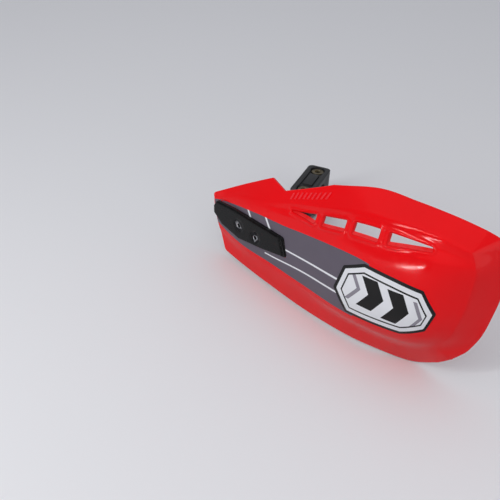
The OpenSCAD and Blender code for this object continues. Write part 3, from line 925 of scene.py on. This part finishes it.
# The badge's outlines: how far they are moved outwards, their rounding and ink
BADGE_RINGS = ((0, 1.6, "black"), (-2.1, 1.2, "white"), (-5.0, 0.9, "black"), (-6.0, 0.7, "white"))
# Chevrons: share along the badge, width and ink
CHEVRONS = ((0.12, 3, "shade"), (0.24, 12, "black"), (0.50, 12, "black"), (0.76, 3, "shade"))
CHEVRON_HALF, CHEVRON_POINT, CHEVRON_SLOPE = 9.6, 7.5, -0.09
# Inks: the band's warm grey, the badge's cool white, its soft black and the pale outer chevrons
INKS = {"grey": "#625b67", "white": "#eaebf0", "black": "#0a0a0b", "shade": "#8f8b96"}
# The film's gap to the plate and to the shell
PRINT_GAP, PRINT_LIFT = 0.06, 0.01
# Ribs on the brim, in the place of lettering
RIBS, RIB_SLANT, RIB_SHARE, RIB_SUNK, RIB_ROUND = 9, 0.55, 0.4, 0.1, 0.1
RIB_CORNERS = [(0.322, 1.12), (0.455, 1.36), (0.452, 1.66), (0.317, 1.36)]


def strip(points, width):
    """Outline of a line of some width, its ends cut square."""
    p = np.array(points, float)
    d = np.gradient(p, axis=0)
    n = np.stack([-d[:, 1], d[:, 0]], 1) / np.linalg.norm(d, axis=1, keepdims=True) * width / 2
    return np.concatenate([p - n, (p + n)[::-1]])


def smooth_line(points, steps=24):
    """Flat places along a smooth line through shares along and up the shell."""
    return spline(np.array([from_uv(*q) for q in points], float), np.linspace(0, 1, steps))


def chevron(badge, at, width):
    """A plain arrow-shaped bar inside the badge, at a share along it."""
    low, high = badge[:, 0].min(), badge[:, 0].max()
    x = low + (high - low) * at
    half, point = CHEVRON_HALF, CHEVRON_POINT
    slope = CHEVRON_SLOPE * (x - low - (high - low) / 2)
    line = [[0, -half], [point, 0], [0, half], [width, half], [width + point, 0], [width, -half]]
    return np.array(line) + [x, badge[:, 1].mean() + slope]


class GUARD_OT_shell(bpy.types.Operator):
    """Builds the shell with its vents, notch, seat and rounded edges."""

    bl_idname = "guard.shell"
    bl_label = "Shell"

    def execute(self, context):
        s = context.scene.guard_shell
        points, faces, edge = shell_mesh(s.wall / MM, s.edge_radius / MM, s.step / MM)
        # Saturated signal red with a clear gloss and hardly any grain
        red = moulded_plastic("moulded_red_polypropylene", "#f2000a", "#f5484a", 0.1, 0.32, 0.03,
                              0.22)
        shell = mesh_object("shell", to_part(points), faces, red)
        point_value(shell, "edge", edge)
        declare(shell, "shell_red", "guard_shell")
        return {"FINISHED"}


class GUARD_OT_print(bpy.types.Operator):
    """Lays the printed band, its pale lines and the plain badge on the shell."""

    bl_idname = "guard.print"
    bl_label = "Print"

    def execute(self, context):
        s = context.scene.guard_print
        wall_line, seat_line = seat_lines(surface, PRINT_GAP)
        band = np.concatenate([smooth_line(BAND_LOWER), smooth_line(BAND_UPPER)[::-1]])
        badge = np.array([from_uv(*q) for q in BADGE])
        rings = [rounded(grown(badge, d), r) for d, r, _ in BADGE_RINGS]
        width = s.line_width / MM
        shapes = [(seat_line, None, None), (band, "grey", None), (wall_line, "grey", None)]
        shapes += [(strip(smooth_line(q), width), "white", None) for q in LONG_LINES]
        shapes += [(strip(smooth_line(q), width * SHORT_WIDER), "white", band) for q in SHORT_LINES]
        shapes += [(seat_line, None, None)]
        shapes += [(r, ink, None) for r, (_, _, ink) in zip(rings, BADGE_RINGS)]
        shapes += [(chevron(badge, at, wide), ink, rings[-1]) for at, wide, ink in CHEVRONS]
        flat, by_ink, lines = painted(shapes, s.step / MM)
        pieces = []
        for ink, tris in by_ink.items():
            points, faces = film(flat, tris, PRINT_LIFT, s.thickness / MM, lines[0])
            film_material = printed_film("printed_film_" + ink, INKS[ink])
            pieces.append(mesh_object("print_" + ink, to_part(points), faces, film_material))
        pieces.append(self.ribs(s))
        for piece in pieces:
            declare(piece, "shell_red")
        return {"FINISHED"}

    def ribs(self, s):
        """The slanted ribs on the brim, sunk a little into the shell."""
        c = np.array([from_uv(*q) for q in RIB_CORNERS])
        shapes = []
        for k in range(RIBS):
            near = mix(c[0], c[1], k / RIBS)
            far = mix(c[3], c[2], (k + RIB_SLANT) / RIBS)
            side = (c[1] - c[0]) / RIBS * RIB_SHARE
            shapes.append((rounded([near, near + side, far + side, far], 0.4, 3), "rib", None))
        flat, by_ink, _ = painted(shapes, s.step / MM)
        points, faces = film(flat, by_ink["rib"], -RIB_SUNK, RIB_SUNK + s.rib_height / MM)
        # The same red, frosted and a shade lighter, so that the ribs show on the glossy brim
        frosted = moulded_plastic("moulded_red_ribs", "#f6202c", "#f5484a", 0.3, 0.32, 0.04, 0.4)
        piece = mesh_object("brim_ribs", to_part(points), faces, frosted)
        return round_edges(piece, RIB_ROUND * MM, 2, 50)


def round_edges(obj, radius, segments, sharp_deg):
    """Rounds an object's sharp edges, and keeps how much each point is part of an edge."""
    mod = obj.modifiers.new("edges", "BEVEL")
    mod.width = radius
    mod.segments = segments
    mod.limit_method = "ANGLE"
    mod.angle_limit = math.radians(sharp_deg)
    mod.use_clamp_overlap = True
    bpy.context.view_layer.update()
    done = bpy.data.meshes.new_from_object(obj.evaluated_get(bpy.context.evaluated_depsgraph_get()))
    obj.modifiers.clear()
    obj.data = done
    bm = bmesh.new()
    bm.from_mesh(done)
    turns = [max((e.calc_face_angle(0) for e in v.link_edges), default=0) for v in bm.verts]
    bm.free()
    point_value(obj, "edge", np.clip(np.array(turns) / math.radians(40), 0, 1))
    done.shade_smooth()
    done.set_sharp_from_angle(angle=math.radians(sharp_deg))
    return obj


def bevelled(node, name, material, radius, segments, sharp_deg=32):
    """A copy of a CAD node with its flat faces joined and its edges rounded."""
    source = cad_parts[node]
    bm = bmesh.new()
    bm.from_mesh(source.data)
    bmesh.ops.remove_doubles(bm, verts=bm.verts, dist=1e-6)
    bmesh.ops.dissolve_limit(bm, angle_limit=math.radians(0.6), verts=bm.verts, edges=bm.edges)
    mesh = bpy.data.meshes.new(name)
    bm.to_mesh(mesh)
    bm.free()
    mesh.materials.clear()
    return round_edges(new_object(name, mesh, material), radius, segments, sharp_deg)


class GUARD_OT_plate(bpy.types.Operator):
    """Builds the front plate with its rim, screw holes, end step and peg."""

    bl_idname = "guard.plate"
    bl_label = "Front plate"

    def execute(self, context):
        # Deep black with a soft sheen, only its worn rims a little paler
        black = moulded_plastic("moulded_black_plate", "#080809", "#1d1d1f", 0.26, 0.3, 0.12, 0.2)
        points, faces, worn = plate_mesh()
        piece = mesh_object("plate", to_part(from_seat(points)), faces, black)
        point_value(piece, "edge", worn)
        declare(piece, "plate_black", "front_plate")
        return {"FINISHED"}


class GUARD_OT_bracket(bpy.types.Operator):
    """Dresses the bracket and the clamp's lower half."""

    bl_idname = "guard.bracket"
    bl_label = "Bracket and clamp"

    def execute(self, context):
        s = context.scene.guard_bevels
        # Charcoal with a coarse dull grain, paler than the plate
        black = moulded_plastic("moulded_black_nylon", "#1d1d1f", "#424245", 0.46, 0.35, 0.4, 0.5)
        for node, name, slot in (("bracket", "arm_and_clamp", "bracket_black"),
                                 ("clamp_cap", "cap", "cap_black")):
            declare(bevelled(node, name, black, s.moulded, s.segments), slot, node)
        return {"FINISHED"}


# The fasteners' metals (name, colour, duller mottled colour, where worn, roughness), their slots
# and nodes
FASTENERS = (
    # Near black, so that only the bare walls of the sockets glint in the plate
    (("black_zinc_screw", "#2a2a2d", "#18181a", "#a8a8ac", 0.2), "screw_steel",
     ("plate_screw_inner", "plate_screw_outer")),
    # Pale straw yellow, seen from behind against the black foot
    (("yellow_zinc_nut", "#a3976f", "#6b6040", "#c2b993", 0.34), "nut_zinc",
     ("foot_nut_inner", "foot_nut_outer")),
    # Dull bronze brown, as the bolt heads show on top of the clamp
    (("bronze_toned_bolt", "#6b624f", "#3b362b", "#8d836d", 0.34), "bolt_dark",
     ("clamp_bolt_front", "clamp_bolt_rear")),
    # A thin pale ring round each bolt head
    (("yellow_zinc_washer", "#b3ab96", "#7d755f", "#c9c3b3", 0.3), "washer_zinc",
     ("clamp_washer_front", "clamp_washer_rear")),
    # Warm brass, seen only from below
    (("turned_brass_insert", "#b08d4b", "#765a28", "#d3b77c", 0.3), "insert_brass",
     ("cap_insert_front", "cap_insert_rear")),
)
# Bare metal in a screw's socket: this near the axis and this far in front of the seat
SOCKET_BRIGHT, SOCKET_FRONT = 2.25, -2.2
# The screws' edges are this much rounder than those of the other fasteners
SCREW_ROUNDER = 2.5


class GUARD_OT_fasteners(bpy.types.Operator):
    """Dresses the screws, bolts, washers, nuts and inserts."""

    bl_idname = "guard.fasteners"
    bl_label = "Fasteners"

    def execute(self, context):
        s = context.scene.guard_bevels
        for look, slot, nodes in FASTENERS:
            metal = plated_steel(*look)
            for node in nodes:
                is_screw = node.startswith("plate_screw")
                name = node.replace("plate_", "").replace("clamp_", "") + "_finished"
                piece = bevelled(node, name, metal, s.machined * (SCREW_ROUNDER if is_screw else 1),
                                 s.segments)
                if is_screw:
                    p = to_seat(to_shell([v.co for v in piece.data.vertices]))
                    bare = np.hypot(np.abs(p[:, 0]) - SCREW_AT, p[:, 2]) < SOCKET_BRIGHT
                    point_value(piece, "edge", bare & (p[:, 1] < SOCKET_FRONT))
                declare(piece, slot, node)
        return {"FINISHED"}


# Camera at the photograph's place: above and outboard of the guard's front, pitched down
CAMERA_AT = (370.2, -330.0, 390.0)
CAMERA_DOWN, CAMERA_ROLL, CAMERA_TURN = 39.026, 0.678, 45.0
CAMERA_LENS, CAMERA_SENSOR = 57.26, 36
FLOOR_REACH = 3.0

# Lamps in the shell's axes: place, aim, direction of the long side, then width and height in metres
LAMPS = {
    # Softbox over the object: the brim's even light and the soft shadow
    "key": ((0, -60, 800), (110, 0, 60), (1, 0, 0), 1.3, 1.0),
    # Softbox in front: the face and the print
    "fill": ((700, -800, 480), (110, 0, 60), (1, 1, 0), 1.2, 1.2),
    # Softbox beside the outer rim: the pale corner
    "side": ((796, -12, 262), (217, 18, 107), (0, 1, 0), 0.5, 0.5),
    # Low strip: the streak over the badge
    "strip": ((7, -773, 14), (175, -17, 80), (0.905, -0.232, 0.357), 0.34, 0.014),
    # Upright strip: the bright lines round the last vent
    "lip": ((-82, -659, 505), (180, -7, 97), (146, 148, 330), 0.78, 0.04),
}


def add_floor():
    """A pale floor for the eye and for reflections, which throws less light back on the object."""
    floor_z, r = CAD_BOX[0][2], FLOOR_REACH
    mesh = bpy.data.meshes.new("floor")
    mesh.from_pydata([(-r, -r, floor_z), (r, -r, floor_z), (r, r, floor_z), (-r, r, floor_z)], [],
                     [(0, 1, 2, 3)])
    made, tree, _ = new_material("pale_floor")
    path = add_node(tree, "ShaderNodeLightPath").outputs
    seen = path["Is Camera Ray"]
    for ray in ("Is Glossy Ray", "Is Transmission Ray"):
        seen = add_node(tree, "ShaderNodeMath", {0: seen, 1: path[ray]}, operation="ADD",
                        use_clamp=True).outputs[0]
    pale = add_node(tree, "ShaderNodeMix", {"Factor": seen, "A": linear("#7d7d80"),
                                            "B": linear("#ededef")}, data_type="RGBA")
    finish_material(tree, {"Base Color": pale.outputs["Result"], "Roughness": 0.7})
    new_object("floor", mesh, made)


def stand(name, data, at, axes):
    """A new object in the scene at a place in the shell's axes."""
    obj = new_object(name, data)
    obj.matrix_world = Matrix.Translation(Vector(to_part(at)[0])) @ Matrix(axes).to_4x4()
    return obj


class GUARD_OT_stage(bpy.types.Operator):
    """Sets the floor, the lights and the camera."""

    bl_idname = "guard.stage"
    bl_label = "Stage"

    def execute(self, context):
        s = context.scene.guard_stage
        scene = context.scene
        add_floor()
        axes = SWEEP @ turn_z(CAMERA_TURN) @ turn_x(90 - CAMERA_DOWN) @ turn_z(CAMERA_ROLL)
        scene.camera = stand("camera", bpy.data.cameras.new("camera"), CAMERA_AT, axes.tolist())
        scene.camera.data.lens = CAMERA_LENS
        scene.camera.data.sensor_width = CAMERA_SENSOR
        scene.camera.data.clip_start = 0.01
        for name, (at, aim, along_it, wide, high) in LAMPS.items():
            back = Vector(SWEEP @ np.subtract(at, aim)).normalized()
            side = Vector(SWEEP @ np.array(along_it, float))
            side = (side - back * side.dot(back)).normalized()
            lamp = stand(name, bpy.data.lights.new(name, "AREA"), at,
                         Matrix([side, back.cross(side), back]).transposed())
            lamp.data.shape = "RECTANGLE"
            lamp.data.size = wide
            lamp.data.size_y = high
            lamp.data.energy = getattr(s, name + "_power")
            lamp.visible_camera = False
        world = bpy.data.worlds.new("even_light")
        world.use_nodes = True
        tree = world.node_tree
        way = add_node(tree, "ShaderNodeTexCoord").outputs["Generated"]
        upward = add_node(tree, "ShaderNodeSeparateXYZ", {0: way}).outputs["Z"]
        glow = add_node(tree, "ShaderNodeMapRange",
                        {"Value": upward, "From Min": 0.1, "From Max": 1.0, "To Min": s.sky,
                         "To Max": s.sky + s.zenith}, interpolation_type="SMOOTHSTEP")
        tree.nodes["Background"].inputs["Color"].default_value = linear("#f2f4fb")
        tree.links.new(glow.outputs[0], tree.nodes["Background"].inputs["Strength"])
        scene.world = world
        scene.view_settings.view_transform = "Standard"
        return {"FINISHED"}


class GUARD_PT_panel(bpy.types.Panel):
    """Lists the builders of the hand guard."""

    bl_label = "Hand guard"
    bl_idname = "GUARD_PT_panel"
    bl_space_type = "VIEW_3D"
    bl_region_type = "UI"
    bl_category = "Hand guard"

    def draw(self, context):
        for group in GROUPS:
            box = self.layout.box()
            settings = getattr(context.scene, group)
            for prop in settings.bl_rna.properties:
                if not prop.is_readonly and prop.identifier != "name":
                    box.prop(settings, prop.identifier)
        for operator in OPERATORS:
            self.layout.operator(operator.bl_idname)


GROUPS = {"guard_shell": GUARD_PG_shell, "guard_print": GUARD_PG_print,
          "guard_bevels": GUARD_PG_bevels, "guard_stage": GUARD_PG_stage}
OPERATORS = (GUARD_OT_stage, GUARD_OT_shell, GUARD_OT_print, GUARD_OT_plate, GUARD_OT_bracket,
             GUARD_OT_fasteners)


def register():
    for cls in (*GROUPS.values(), *OPERATORS, GUARD_PT_panel):
        bpy.utils.register_class(cls)
    for name, cls in GROUPS.items():
        setattr(bpy.types.Scene, name, PointerProperty(type=cls))


def unregister():
    for name in GROUPS:
        delattr(bpy.types.Scene, name)
    for cls in reversed((*GROUPS.values(), *OPERATORS, GUARD_PT_panel)):
        bpy.utils.unregister_class(cls)


def main():
    register()
    bpy.ops.guard.stage()
    bpy.ops.guard.shell()
    bpy.ops.guard.print()
    bpy.ops.guard.plate()
    bpy.ops.guard.bracket()
    bpy.ops.guard.fasteners()
    bpy.context.view_layer.update()


if __name__ == "__main__":
    main()
